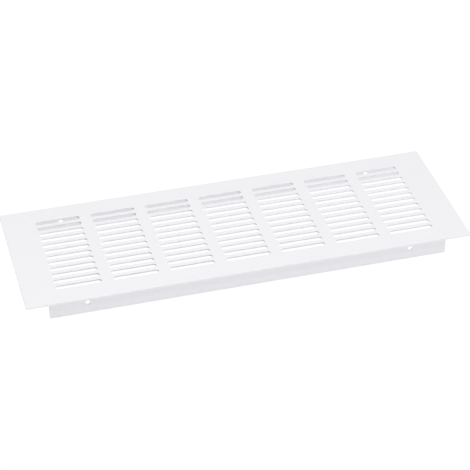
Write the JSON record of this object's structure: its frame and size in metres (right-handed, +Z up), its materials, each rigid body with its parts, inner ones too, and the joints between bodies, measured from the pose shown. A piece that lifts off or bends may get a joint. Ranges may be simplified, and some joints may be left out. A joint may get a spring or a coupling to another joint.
{
  "type": "ventilation grille",
  "caption": "Flat white metal ventilation grille: a plate with rows of round-ended slots, on long webs with screw holes that stand down into the cut-out it covers.",
  "frame": {"origin": "middle of the footprint, on the feet of the webs", "axes": "+X along the length, +Y across the slots, +Z up, out of the face of the plate"},
  "size_m": [0.4, 0.14, 0.0215],
  "materials": {
    "white_coating": "satin powder coat"
  },
  "bodies": {
    "root": {"vent_grille": "white_coating"}
  },
  "joints": []
}
